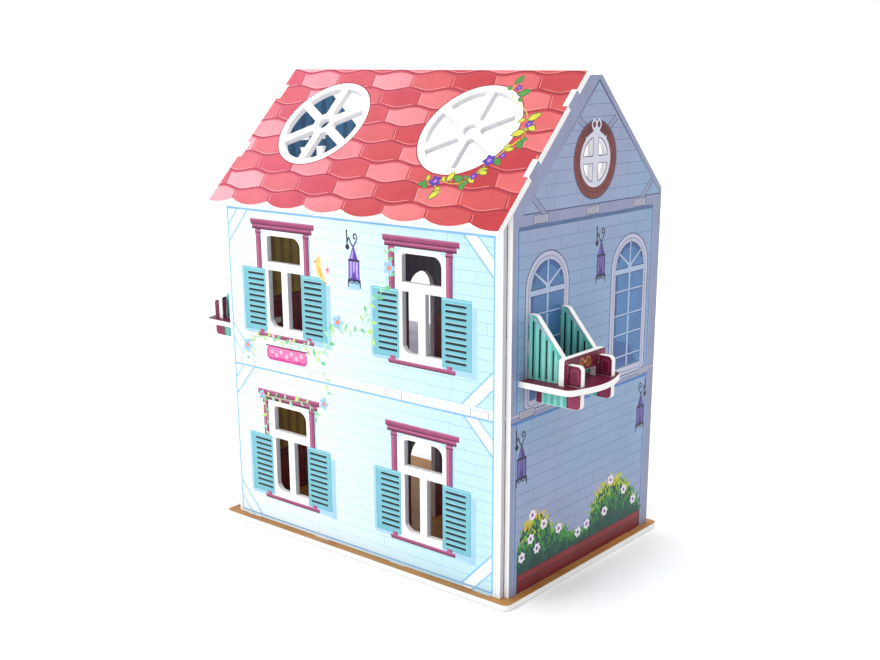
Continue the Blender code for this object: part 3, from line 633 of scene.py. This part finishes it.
def front_picture():
    p = Picture("siding")
    wide, top = body_width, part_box("front_wall")[1].z
    top = (top - floor_top) / MM
    siding(p, "siding_line", 6, wide - 10.5, 4, 190, 12.4, 74, 0.6, 3)
    siding(p, "siding_line", 6, wide - 10.5, 202, 373, 12.4, 74, 0.6, 4)
    p.box("band_white", 0, 5.4, 0, top)
    p.box("band_white", wide - 10, wide, 0, top)
    p.box("band_white", 0, wide, 374, top)
    p.box("band_white", 6, wide - 10.5, 190.8, 199.5)
    for inner, toward in (
        (((41, 374), (7, 335)), (-1, 1)), (((355, 374), (393.5, 334.5)), (1, 1)),
        (((394, 241), (354, 202)), (1, -1)), (((7, 238), (42, 202)), (-1, -1)),
        (((40, 189.5), (6.5, 152)), (-1, 1)), (((356, 189.5), (394.5, 152)), (1, 1)),
        (((6.5, 42), (41, 5)), (-1, -1)), (((394.5, 47), (354, 5)), (1, -1)),
    ):
        brace(p, inner, toward)
    p.box("band_white", 0, 5.4, 0, top)
    p.box("band_white", wide - 10, wide, 0, top)
    p.box("band_white", 0, wide, 374, top)
    p.box("band_white", 6, wide - 10.5, 190.8, 201.2)
    p.box("frame_blue", 5.2, 7.2, 4, 375)
    p.box("frame_blue", wide - 11.6, wide - 9.6, 4, 375)
    p.box("frame_blue", 5.2, wide - 9.6, 372.8, 375)
    p.box("frame_blue", 5.2, wide - 9.6, 3.2, 5.2)
    p.box("frame_blue", 5.2, wide - 9.6, 188.6, 190.8)
    p.box("siding_line", 5.4, wide - 9.8, 201.2, 202)
    p.box("casing_line", wide - 6.6, wide - 6.0, 0, top)
    for v in (26, 72, 118, 164, 196, 232, 278, 324, 362):
        p.box("casing_line", wide - 6, wide, v, v + 0.7)
    for u in window_u:
        window(p, u, 199.4, True)
        window(p, u - 0.5, 0.1, False)

    # Vines, flowers, the bird and the flower box.
    vine(p, [(164.6, 260), (176, 256), (190.5, 254.7), (205.5, 255.7), (216, 264), (222.5, 279),
        (236, 295.5), (249, 305.6), (255, 317), (258, 330), (255.4, 342), (258, 350)], 5)
    vine(p, [(222.5, 279), (229, 272), (233, 262), (231, 250)], 6, gap=6)
    vine(p, [(36, 232), (43, 226.6), (60, 229.5), (77, 229), (98, 226), (118.7, 227), (142.7, 225),
        (153, 209.5), (161.7, 188), (156, 167)], 7, gap=5.5)
    vine(p, [(43, 226.6), (38, 214), (30, 204), (24, 190)], 8, gap=6)
    vine(p, [(46, 155), (58, 157.5), (73, 158), (98.5, 159), (123.5, 161), (136, 156), (142, 146)], 9, gap=6)
    vine(p, [(54, 157), (56.6, 145), (59, 130), (54.5, 114)], 10, gap=6)
    vine(p, [(151, 222), (160, 228), (168, 240), (166, 252)], 11, gap=6)
    for u, v, r in ((29.8, 215, 9.5), (180, 262, 9.5), (256.6, 329.5, 9), (154.3, 164.5, 8),
            (51, 158.5, 5.5)):
        blossom(p, "petal_blue", "petal_orange", u, v, r, 5, 70, "petal_blue_dark")
    for u, v in ((75, 232), (104, 229), (133, 221), (196, 257), (213, 262)):
        blossom(p, "petal_pink" if u < 140 else "band_white", "leaf_lime", u, v, 3.6, 5, 40)
    p.box("cornice_dark", 61.5, 131, 219, 220.6)
    p.fill("box_pink_dark", rounded(63, 129.5, 203.2, 219.3, 6))
    p.fill("box_pink", rounded(65.2, 127.6, 206.2, 218.6, 4.5))
    for u, v in ((72, 213), (79, 209.5), (87, 214), (96, 210), (104, 214.5), (112, 210), (120, 214)):
        blossom(p, "box_white", "petal_orange" if u % 2 else "box_pink_dark", u, v, 2.6, 5, u * 7)
    p.curve("box_pink_dark", [(68, 211), (83, 206.5), (100, 208), (116, 206.6), (125, 212)], 0.8)
    for u in (77, 81, 113, 117):
        p.line("casing_line", [(u, 203.4), (u + 0.5, 198.4)], 0.9)
    p.fill("bird", smooth([(149, 325), (152.5, 333), (157, 329), (156.5, 322), (160, 312), (164.5, 302),
        (158.5, 306), (153, 309), (149.5, 315), (149, 325)], 4))
    p.fill("bird_wing", smooth([(151.5, 322), (156, 318), (159.5, 307.5), (153.8, 312), (151.5, 322)], 3))
    p.fill("petal_orange", [(149.2, 327.5), (144.8, 324.5), (149.4, 323.6)])
    p.disc("slat", 152.4, 328, 0.7, 8)
    blossom(p, "petal_pink", "box_pink_dark", 167, 318, 4.6, 5, 20)
    p.disc("petal_orange", 163.2, 303, 1.6, 8)
    lantern(p, 206.6, 332, "lantern_metal", "lantern_purple", "lantern_glass", 1, "cast_shadow")
    return p


def arch(u, spring, half, low, steps=18, foot=0.0):
    """An upright panel with a half-round top."""
    loop = [(u - half, low), (u + half, low)]
    if foot:
        loop = [(u - half, low + foot), (u - half + foot, low), (u + half - foot, low)]
        loop.append((u + half, low + foot))
    return loop + arc(u, spring, half, 0, 180, steps)


def arch_window(p, u):
    spring = 317.5
    p.fill("gable_dark", arch(u, spring, 38.4, 196, foot=6))
    p.fill("arch_trim", arch(u, spring, 37.2, 197.2, foot=5))
    p.fill("gable_trim", arch(u, spring, 33.2, 200, foot=4))
    p.fill("arch_trim", arch(u, spring, 31.8, 201.4, foot=4))
    p.fill("gable_dark", arch(u, spring, 28.8, 206.4))
    p.fill("arch_glass", arch(u, spring, 27.8, 207.5))
    p.fill("arch_glass_deep", arc(u, spring, 27.8, 20, 160, 16) + arc(u, spring, 23.5, 160, 20, 16))
    p.box("arch_glass_deep", u - 27.8, u - 24.4, 207.5, 312)
    p.fill("arch_glass_deep", [(u - 26, 209), (u + 20, 209), (u + 4, 232), (u - 26, 240)])
    hub = (u, 320)
    for turn in (38, 90, 142):
        end = (u + 30.5 * math.cos(math.radians(turn)), spring + 30.5 * math.sin(math.radians(turn)))
        p.line("gable_dark", [hub, end], 4.6, 3.0)
        p.line("arch_bar", [hub, end], 3.4, 1.9)
    p.box("gable_dark", u - 30, u + 30, 311.6, 319)
    p.box("arch_bar", u - 30, u + 30, 312.6, 318)
    p.disc("arch_bar", u, 319.5, 3.6, 16)
    p.box("arch_bar", u - 1.5, u + 1.5, 207.5, 313)
    for v in (293.5, 266.7, 244.7, 219.7):
        p.box("arch_bar", u - 27.8, u + 27.8, v - 0.8, v + 0.8)
        p.box("arch_glass_deep", u - 27.8, u + 27.8, v - 1.8, v - 0.8)


def foliage(p):
    """Bushes behind the planter: blades painted from the dark foot up to the sunlit tips."""
    crest = [(19, 50), (25.5, 71), (34, 79), (48, 84), (62, 84), (75.6, 72), (81.6, 59), (93, 60),
        (108, 52), (115, 40), (128, 41), (142.5, 37.5), (154, 42), (158, 53), (161, 64), (171, 73),
        (183, 79), (201.6, 84), (219, 81), (237.6, 66), (250, 50), (260, 36), (265, 20)]
    p.fill("bush_deep", [(19, 20)] + [(u, v - 6) for u, v in crest] + [(265, 19)])
    draw = random.Random(21)
    us, vs = zip(*crest)
    blades = []
    for _ in range(620):
        u = draw.uniform(19, 263)
        top = float(np.interp(u, us, vs))
        share = draw.random() ** 0.75
        blades.append((share, u, 21 + (top - 25) * share, top))
    tints = ("bush_deep", "bush_dark", "bush_dark", "bush_mid", "bush_mid", "bush_light", "bush_lime",
        "bush_gold")
    for share, u, v, top in sorted(blades):
        level = share * (0.55 + 0.45 * (top - 36) / 48) * 7.4 + draw.uniform(-1.1, 1.1)
        angle = 90 + draw.uniform(-55, 55)
        leaf(p, tints[max(0, min(7, round(level)))], u, v, angle, draw.uniform(5.5, 10.5),
            plump=draw.uniform(0.5, 0.9))
    for u, v in ((46, 81), (67, 65), (95, 51), (43.6, 55), (55, 41), (28, 39), (132.7, 34.6), (150.5, 38.6),
            (187, 43), (198, 77.5), (227, 58), (248.7, 39.6)):
        blossom(p, "daisy", "daisy_heart", u, v, 6.6, 6, u, "daisy_shade")


def side_picture():
    p = Picture("gable_trim")
    deep = body_depth
    p.fill("gable_siding", [(16, 0), (deep - 17.5, 0), (deep - 17.5, 187), (16, 187)])
    p.fill("gable_siding", [(16, 198), (deep - 17.5, 198), (deep - 17.5, 380), (16, 380)])
    siding(p, "gable_line", 16, deep - 17.5, 6, 186, 13, 78, 0.6, 13)
    siding(p, "gable_line", 16, deep - 17.5, 198, 380, 13, 78, 0.6, 14)
    p.box("gable_trim_dark", 6, deep, 196.1, 196.9)
    p.box("gable_blue", 14.6, 16.2, 0, 381)
    p.box("gable_siding", 12.6, 14.6, 0, 381)
    p.box("gable_blue", deep - 18.4, deep - 16.8, 0, 381)
    p.box("gable_siding", deep - 16.8, deep - 14.6, 0, 381)
    p.box("gable_trim", 0, deep, 189.5, 198)
    p.box("gable_blue", 6, deep - 14, 186.4, 189.2)
    p.box("arch_trim", 6, deep, 194.5, 196)
    p.box("gable_shadow", 16, deep - 17.5, 378.6, 383)
    p.box("gable_trim", 0, deep, 383, 394.4)
    p.box("gable_trim_dark", 6, deep, 382.6, 383.4)
    for u in (65.5, 221.5):
        arch_window(p, u)
    lantern(p, 162.3, 338, "side_metal", "side_purple", "side_glass", 1, "gable_siding")
    lantern(p, 25.6, 148, "side_metal", "side_purple", "side_glass", 1, "gable_siding")
    lantern(p, 257.0, 151, "side_metal", "side_purple", "side_glass", -1, "gable_siding")

    # Gable: weatherboarding in a triangle of trim, with struts and the ring of the round window.
    low, tip, foot_front, foot_rear = 394.4, (149, 515), (23.5, 394.4), (279, 394.4)
    p.fill("gable_dark", [(foot_front[0] - 2, low - 1.2), (foot_rear[0] + 2, low - 1.2),
        (tip[0], tip[1] + 3)])
    p.fill("gable_siding", [foot_front, foot_rear, tip])
    for i in range(1, 10):
        v = low + 12.4 * i
        share = (v - low) / (tip[1] - low)
        u0 = foot_front[0] + (tip[0] - foot_front[0]) * share
        u1 = foot_rear[0] + (tip[0] - foot_rear[0]) * share
        p.box("gable_line", u0 + 1, u1 - 1, v - 0.3, v + 0.3)
        for u in (60, 112, 196, 244):
            u += 14 * (i % 2)
            if u0 + 5 < u < u1 - 5:
                p.box("gable_line", u - 0.25, u + 0.25, v - 12.4, v)
    for a, b in (((113, 480), (140, 462.5)), ((184, 480), (158, 462.5)), ((262, 411), (240, 392)),
            ((36, 410), (58, 392))):
        p.line("gable_dark", [a, b], 7)
        p.line("gable_trim", [a, b], 5.4)
    p.line("gable_trim", [(foot_front[0] - 1, low), tip], 1.6)
    ring = (145.5, 438.5)
    p.disc("gable_dark", *ring, 40.2, 56)
    p.disc("gable_ring", *ring, 39, 56)
    p.disc("gable_ring_dark", *ring, 33.6, 56)
    p.disc("gable_ring", *ring, 32.2, 56)
    p.disc("gable_ring_dark", *ring, 29.2, 56)
    # The white core, spokes and scrolls of the ring are white with painted shade.
    p.disc("gable_white", *ring, 28, 56)
    for turn in range(0, 360, 12):
        a = math.radians(turn)
        p.line("gable_ring_dark", [(ring[0] + 34 * math.cos(a), ring[1] + 34 * math.sin(a)),
            (ring[0] + 38.6 * math.cos(a), ring[1] + 38.6 * math.sin(a))], 0.7)
    shade = arc(ring[0], ring[1] + 2, 36, 40, 140, 14) + arc(ring[0], ring[1] + 2, 28, 140, 40, 14)
    p.fill("gable_ring_dark", shade)
    for s in (-1, 1):
        u = ring[0] + 0.5
        p.curve("gable_white", [(u, 474), (u + s * 4, 478.5), (u + s * 8, 474), (u + s * 5.5, 469),
            (u + s * 2, 470)], 2.2)
        p.curve("gable_white", [(u + s * 1, 468), (u + s * 8, 464), (u + s * 15, 459), (u + s * 19, 461.5)],
            3.4, 1.6)
        p.curve("gable_ring_dark", [(u + s * 2.5, 473), (u + s * 5, 474.5), (u + s * 5, 471.5)], 0.8)
    p.fill("gable_white", turned([(-4, 0), (0, 10), (4, 0), (0, -12)], 0, ring[0] + 0.5, 467))

    foliage(p)
    p.fill("planter_dark", rounded(18.6, 266, -2, 21.6, 3))
    p.fill("planter", rounded(20, 265, -2, 20.6, 3))
    p.box("planter_rim", 20, 265, 13.4, 20.6, 2)
    p.box("planter_dark", 20, 265, 12.2, 13.4)
    p.box("gable_siding", 16.2, 19, 0, 30)
    return p


def roof_picture():
    p = Picture("tile_mid")
    wide = body_width
    course, pitch, drop = 25.3, 57.0, 5.0
    tints = ("tile_blush", "tile_pale", "tile_mid", "tile_deep", "tile_red")
    draw = random.Random(8)

    def wave(left, v, s0=0.0, s1=1.0, lift=0.0):
        steps = [s0 + (s1 - s0) * i / 12 for i in range(13)]
        return [(left + pitch * t, v - drop * (0.5 - 0.5 * math.cos(2 * math.pi * t)) + lift) for t in steps]

    def starts(k):
        first = 30.9 + 31.2 * k
        first -= math.ceil((first + 20) / pitch) * pitch
        return [first + pitch * n for n in range(10)]

    for k in range(9):
        v = course * k + (6.0 if k == 0 else 0)
        for n, left in enumerate(starts(k)):
            level = (n * 2 + k * 3 + (k // 2)) % 5 - 2 + draw.uniform(-0.5, 0.5)
            tint = tints[max(0, min(4, round(2 + level)))]
            top = v + course + 4
            low = wave(left, v)
            if k == 0:
                low = [(u, s - 12) for u, s in low]
            p.fill(tint, low + [(left + pitch - 6, top), (left - 6, top)])
            p.line("tile_line", [(left, v), (left - 3.2, v + course * 0.55), (left - 6, top)], 1.1, 0.7)
            p.line("tile_gleam", [(left + 1.8, v + 2.5), (left - 1.4, v + course * 0.55),
                (left - 3.6, v + course - 4)], 0.6, 0.3)
            if k:
                p.line("tile_gleam", wave(left, v, 0.12, 0.88, 2.2), 0.35, 0.6)
    for k in range(1, 9):
        for left in starts(k):
            v = course * k
            p.fill("tile_shade", wave(left, v, 0, 1, -0.4) + wave(left, v, 0, 1, -3.2)[::-1])
            p.line("tile_line", wave(left, v), 1.9)
    for sign in (-1, 1):
        u, s = wide / 2 + sign * 105, 122
        p.disc("tile_line", u, s, 61.4, 72)
        p.disc("casing", u, s, 60, 72)
    vine(p, [(334.8, 192), (332.5, 178), (337, 168), (346, 160.5), (355.3, 155.8), (366.5, 146.5),
        (373.5, 137), (378, 127), (378.4, 117), (375.5, 109), (369.2, 101.7)], 12, "vine_lime",
        ("vine_green",), 8, 60, 1.1)
    vine(p, [(376, 112), (369.2, 101.7), (363.9, 94), (358.7, 86), (354.4, 79), (350.2, 71), (346, 64),
        (339.9, 56.5), (331, 52), (322, 51.5), (312, 54), (303, 53), (295.5, 51), (289, 49.5)], 13,
        "vine_lime", ("vine_green",), 8, 60, 1.1)
    p.curve("vine_lime", [(300, 53), (306, 47), (314, 44), (317, 39)], 0.9)
    for u, s, angle, size, name in (
        (333, 184, 70, 13, "vine_green"), (331, 176, 130, 8, "vine_green"), (343, 170, 22, 15, "vine_green"),
        (347, 166, -40, 8, "vine_green"), (373, 137, 38, 15, "vine_lime"), (378, 130, -30, 12, "vine_lime"),
        (377, 127, 250, 9, "vine_lime"), (377, 123, 205, 15, "vine_lime"), (370, 138, 205, 9, "vine_lime"),
        (376, 110, -50, 12, "vine_green"), (378, 113, -10, 8, "vine_green"), (364, 97, 60, 10, "vine_lime"),
        (366, 98, 10, 10, "vine_lime"), (360, 86, -38, 12, "vine_green"), (348, 67, 35, 12, "vine_lime"),
        (350, 69, -10, 11, "vine_lime"), (342, 60, -30, 10, "vine_lime"), (336, 56, 160, 14, "vine_green"),
        (336, 54, -60, 11, "vine_green"), (340, 58, 280, 9, "vine_green"), (318, 54, 80, 13, "vine_lime"),
        (314, 53, 120, 8, "vine_lime"), (312, 47, 262, 12, "vine_lime"), (315, 42, 235, 14, "vine_lime"),
        (294, 50, 190, 11, "vine_green"), (296, 49, 235, 8, "vine_green"), (293, 53, 110, 8, "vine_lime"),
    ):
        leaf(p, name, u, s, angle, size, "vine_vein", 1.15)
    for u, s, r in ((340, 179.3, 4.6), (377.3, 131.9, 5.2), (354.4, 83.8, 8.2), (367.2, 90.7, 4.4),
            (346.5, 62.8, 5), (303, 53, 8)):
        blossom(p, "vine_purple", "vine_pink", u, s, r, 5, 50)
    return p


def planks(name_a, name_b, joint, u0, u1, v0, v1, wide, long, seed):
    """Floorboards along u."""
    p = Picture(name_a)
    draw = random.Random(seed)
    v = v0
    while v < v1:
        u = u0 - draw.uniform(0, long)
        while u < u1:
            if draw.random() < 0.5:
                p.box(name_b, u, u + long, v, v + wide)
            p.box(joint, u - 0.35, u + 0.35, v, v + wide)
            u += long
        p.box(joint, u0, u1, v - 0.35, v + 0.35)
        v += wide
    return p


def wallpaper(ground, stripe, dado, v0, v1, dado_rise, u0, u1, mould, gap=14):
    """Striped wallpaper over a panelled dado."""
    p = Picture(ground)
    u = u0
    while u < u1:
        p.box(stripe, u, u + gap * 0.42, v0 + dado_rise, v1)
        u += gap
    p.box(dado, u0, u1, v0 - 8, v0 + dado_rise)
    u = u0 + 5
    while u < u1 - 12:
        p.box(mould, u, u + 22, v0 + 8, v0 + dado_rise - 8, 1.5)
        p.box(dado, u + 1.4, u + 20.6, v0 + 9.4, v0 + dado_rise - 9.4, 1)
        u += 28
    p.box(mould, u0, u1, v0 + dado_rise - 3, v0 + dado_rise - 1.6)
    p.box(mould, u0, u1, v0 + 3, v0 + 4)
    return p


def stacked(*pictures):
    """Several pictures of wallpaper on one board, each cut to its own storey."""
    made = Picture(pictures[0][0].ground)
    for picture, v0, v1, u0, u1 in pictures:
        made.box(picture.ground, u0, u1, v0, v1)
        for name, loop in picture.shapes:
            made.fill(name, [(min(max(u, u0), u1), min(max(v, v0), v1)) for u, v in loop])
    return made


# The boards keep their CAD shape: white painted wood with lightly rounded edges, and greyer ends where the
# photo has them in shade.
for node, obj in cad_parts.items():
    obj.data.materials.clear()
    obj.data.materials.append(paint("board_edge"))
    shaded = {"front_wall": "board_shade", "first_floor": "tab_end_shade", "attic_floor": "tab_end_shade"}.get(node)
    if shaded:
        obj.data.materials.append(paint(shaded))
        for face in obj.data.polygons:
            face.material_index = int(abs(face.normal.x) > 0.9)
    if "custom_normal" in obj.data.attributes:
        obj.data.attributes.remove(obj.data.attributes["custom_normal"])
    obj.data.polygons.foreach_set("use_smooth", [False] * len(obj.data.polygons))
    weld = obj.modifiers.new("weld", "WELD")
    weld.merge_threshold = 1e-5
    bevel = obj.modifiers.new("bevel", "BEVEL")
    bevel.width, bevel.segments = BEVEL * MM, 2
    bevel.limit_method, bevel.angle_limit = "ANGLE", math.radians(40)

front = front_picture()
front_side = Side("front_wall", -Y, X, Z, front_origin)
# Painted shade round the slots of the front wall.
slot_shade_rims(front, "casing_line", front_side, 1.6)
front.lay("front_wall_print", front_side)
gable = side_picture()
side_origin = Vector((0, wall_front, floor_top))
gable_side = Side("right_side_wall", X, Y, Z, side_origin)
# Painted shade round the slots of the side wall.
slot_shade_rims(gable, "gable_dark", gable_side)
gable.lay("right_side_wall_print", gable_side)
gable.lay("left_side_wall_print", Side("left_side_wall", -X, Y, Z, side_origin))

roof_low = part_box("roof_panel")[0]
eave_point = Vector((left_inner, roof_low.y, 0))
roof_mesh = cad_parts["roof_panel"].data
eave_point.z = max(v.co.z for v in roof_mesh.vertices if v.co.y < roof_low.y + PLANE_TOLERANCE)
roof_picture().lay("roof_print", Side("roof_panel", OUT_OF_ROOF, X, UP_ROOF, eave_point))

# Grounds and floors.
low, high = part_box("base_board")
origin = Vector((left_inner, wall_front, 0))
ground = planks(
    "ground_wood", "ground_wood", "ground_joint", -20, body_width + 20, -12, body_depth + 14, 42, 190, 31
)
ground.lay("base_board_print", Side("base_board", Z, X, Y, origin))
planks("plank_a", "plank_b", "plank_joint", 0, body_width, 0, body_depth, 15, 96, 32).lay(
    "first_floor_print", Side("first_floor", Z, X, Y, origin))
planks("plank_b", "plank_a", "plank_joint", 0, body_width, 0, body_depth, 15, 96, 33).lay(
    "attic_floor_print", Side("attic_floor", Z, X, Y, origin))

# Wallpaper on the inner sides.
ceiling = attic_top - 6
lower = (0, first_top - 6)
upper = (first_top, ceiling)
OLIVE, NAVY = ("olive", "olive_stripe"), ("navy_wall", "navy_stripe")
LILAC, VIOLET = ("lilac_wall", "lilac_stripe"), ("violet_wall", "violet_stripe")
under_roof = (attic_top, 540)  # up past the tips of the gables


def papered(tones, span, rise, u0, u1):
    """One storey's wallpaper, and where it goes."""
    return wallpaper(*tones, "dado", *span, rise, u0, u1, "dado_line"), *span, u0, u1


def attic_paper(tones):
    plain = wallpaper(*tones, tones[1], *under_roof, 4, 0, body_depth, tones[1], 18)
    return plain, *under_roof, 0, body_depth


inner_left = stacked(
    papered(OLIVE, lower, 62, 0, body_depth), papered(OLIVE, upper, 62, 0, body_depth), attic_paper(NAVY)
)
inner_left.lay("left_side_wall_inner_print", Side("left_side_wall", X, Y, Z, side_origin))
inner_right = stacked(
    papered(LILAC, lower, 58, 0, body_depth), papered(VIOLET, upper, 58, 0, body_depth), attic_paper(LILAC)
)
inner_right.lay("right_side_wall_inner_print", Side("right_side_wall", -X, Y, Z, side_origin))
half = body_width / 2
inner_front = stacked(
    papered(OLIVE, lower, 40, 0, half), papered(LILAC, lower, 40, half, body_width),
    papered(OLIVE, upper, 40, 0, half), papered(VIOLET, upper, 40, half, body_width),
)
inner_front.lay("front_wall_inner_print", Side("front_wall", Y, X, Z, front_origin))
for storey_name, (v0, v1), grounds in (
    ("lower", lower, (OLIVE, ("shelf_grey", "shelf_dark"))),
    ("upper", upper, (LILAC, VIOLET)),
):
    node = storey_name + "_partition"
    for out, tag, (ground, stripe) in ((-X, "left", grounds[0]), (X, "right", grounds[1])):
        p = wallpaper(ground, stripe, "dado", v0, v1, 56, 0, body_depth, "dado_line")
        p.lay(f"{node}_{tag}_print", Side(node, out, Y, Z, side_origin))

# Balconies.
for prefix, out in (("right", X), ("left", -X)):
    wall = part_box(prefix + "_side_wall")
    wall_x = wall[1].x if prefix == "right" else wall[0].x
    floor_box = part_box(prefix + "_balcony_floor")
    rail_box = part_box(prefix + "_balcony_rail")
    middle = (rail_box[0].y + rail_box[1].y) / 2
    at = Vector((wall_x, middle, floor_box[1].z))
    reach = abs((floor_box[1].x if prefix == "right" else floor_box[0].x) - wall_x) / MM

    p = Picture("balcony_wine")
    for v in range(-45, 46, 9):
        p.box("balcony_wine_dark", -8, reach + 2, v - 0.35, v + 0.35)
    p.lay(prefix + "_balcony_floor_print", Side(prefix + "_balcony_floor", Z, out, Y, at))
    p.lay(prefix + "_balcony_floor_under_print", Side(prefix + "_balcony_floor", -Z, out, Y, at))

    for end in ("front", "rear"):
        node = f"{prefix}_balcony_{end}_side"
        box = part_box(node)
        for facing, tag in ((-Y, "front"), (Y, "rear")):
            p = Picture("balcony_teal")
            for i in range(8):
                p.box("balcony_mint", 1.0 + 7.6 * i, 4.4 + 7.6 * i, -6, 80)
                p.box("balcony_mint", 1.0 + 7.6 * i, 4.4 + 7.6 * i, -40, -6)
            p.fill("balcony_lilac", [(5, 71), (5, 61), (42, 27.5), (47, 27.5), (47, 40), (20, 75)])
            p.fill("balcony_teal", [(5, 70), (5, 61.5), (8, 61.5), (42, 24), (42, 22.5), (38, 22)])
            for i, top in enumerate((58.5, 51.5, 42, 32.5, 23.5)):
                u = 4.6 + 8.1 * i
                p.box("balcony_slot", u, u + 2.0, 2.0, top, 0.9)
            p.box("balcony_wine", 46.6, 70, -6, 30)
            p.box("balcony_wine_dark", 46.6, 47.6, -6, 30)
            p.box("balcony_rose", 50.5, 60, 3, 17, 1.2)
            p.box("balcony_wine", 51.7, 58.8, 4.2, 15.8, 1)
            p.box("balcony_slot", 8, 47, -8.6, -6)
            p.box("balcony_wine", 0, 17, -30, -6)
            p.box("balcony_rose", 46.6, 70, -30, -6)
            p.box("balcony_wine", 46.6, 48, -30, -6)
            p.lay(f"{node}_{tag}_print", Side(node, facing, out, Z, at))

    for facing, tag in ((out, "outer"), (-out, "inner")):
        p = Picture("balcony_wine")
        for v in (15, 20.5):
            p.box("balcony_wine_dark", -40, 40, v - 0.4, v + 0.4)
        p.box("balcony_rose", -36, -31, 1, 24, 1)
        p.box("balcony_rose", 31, 36, 1, 24, 1)
        if tag == "outer":
            for s in (-1, 1):
                loops = [(s * 1.5, 18), (s * 4.5, 22.5), (s * 8.5, 20.5), (s * 8, 15.8), (s * 5, 16.2),
                    (s * 5.2, 18.8)]
                p.curve("gilt", loops, 1.5, 0.9)
                p.curve("gilt", [(s * 2, 15.5), (s * 5.5, 13.2), (s * 10, 14.4), (s * 13, 18)], 1.2, 0.6)
                p.disc("gilt", s * 26, 13, 1.3, 10)
            p.disc("gilt", 0, 18.4, 1.9, 12)
        p.lay(f"{prefix}_balcony_rail_{tag}_print", Side(prefix + "_balcony_rail", facing, Y, Z, at))

# Studio: a pale floor that runs far out, soft lamps over the front, an overhead sun, and a pale sky that dims
# towards the side wall.
floor_mesh = bpy.data.meshes.new("studio_floor")
reach = 60.0  # metres: far enough that no horizon shows
floor_mesh.from_pydata([(-reach, -reach, 0), (reach, -reach, 0), (reach, reach, 0), (-reach, reach, 0)], [],
    [(0, 1, 2, 3)])
studio_floor = bpy.data.objects.new("studio_floor", floor_mesh)
bpy.context.scene.collection.objects.link(studio_floor)
floor_mesh.materials.append(paint("studio_floor"))
studio_floor.location.z = -0.0006

world = bpy.data.worlds.new("studio")
bpy.context.scene.world = world
world.use_nodes = True
sky = world.node_tree.nodes
background = sky["Background"]
background.inputs["Color"].default_value = (0.99, 0.995, 1.0, 1)
bearing = sky.new("ShaderNodeTexCoord")
across = sky.new("ShaderNodeVectorMath")
across.operation = "DOT_PRODUCT"
across.inputs[1].default_value = (0.9, -0.3, 0.3)
dim = sky.new("ShaderNodeMapRange")
for socket, value in zip(("From Min", "From Max", "To Min", "To Max"), (0.1, 0.9, 1.06, 0.62)):
    dim.inputs[socket].default_value = value
world.node_tree.links.new(bearing.outputs["Generated"], across.inputs[0])
world.node_tree.links.new(across.outputs["Value"], dim.inputs["Value"])
world.node_tree.links.new(dim.outputs["Result"], background.inputs["Strength"])

sun_light = bpy.data.lights.new("overhead", "SUN")
sun_light.energy, sun_light.angle = 0.9, math.radians(35)
sun = bpy.data.objects.new("overhead", sun_light)
bpy.context.scene.collection.objects.link(sun)


def lamp(name, place, target, size, power, colour=(1, 1, 1)):
    data = bpy.data.lights.new(name, "AREA")
    data.shape, data.size, data.energy, data.color = "DISK", size, power, colour
    made = bpy.data.objects.new(name, data)
    made.location = place
    made.rotation_mode = "QUATERNION"
    made.rotation_quaternion = (Vector(target) - Vector(place)).to_track_quat("-Z", "Y")
    bpy.context.scene.collection.objects.link(made)


middle = (cad_box[0] + cad_box[1]) / 2
lamp("key", (-0.9, -2.2, 1.7), middle, 1.4, 13)
lamp("top", (0.1, -0.4, 2.6), middle, 1.8, 6)

# The camera as fitted to the edges of the house in the photo.
camera = bpy.data.objects.new("camera", bpy.data.cameras.new("camera"))
bpy.context.scene.collection.objects.link(camera)
view_from, view_to = Vector((0.87304, -1.0311, 0.53883)), Vector((0.06846, -0.0415, 0.17133))
camera.rotation_mode = "QUATERNION"
camera.rotation_quaternion = (view_to - view_from).to_track_quat("-Z", "Y")
camera.location = view_from
camera.data.sensor_width = 36.0
camera.data.lens = 48.19
camera.data.shift_x = -0.0235
camera.data.shift_y = 0.0825
camera.data.clip_start, camera.data.clip_end = 0.05, 200
bpy.context.scene.camera = camera
bpy.context.scene.view_settings.view_transform = "Standard"
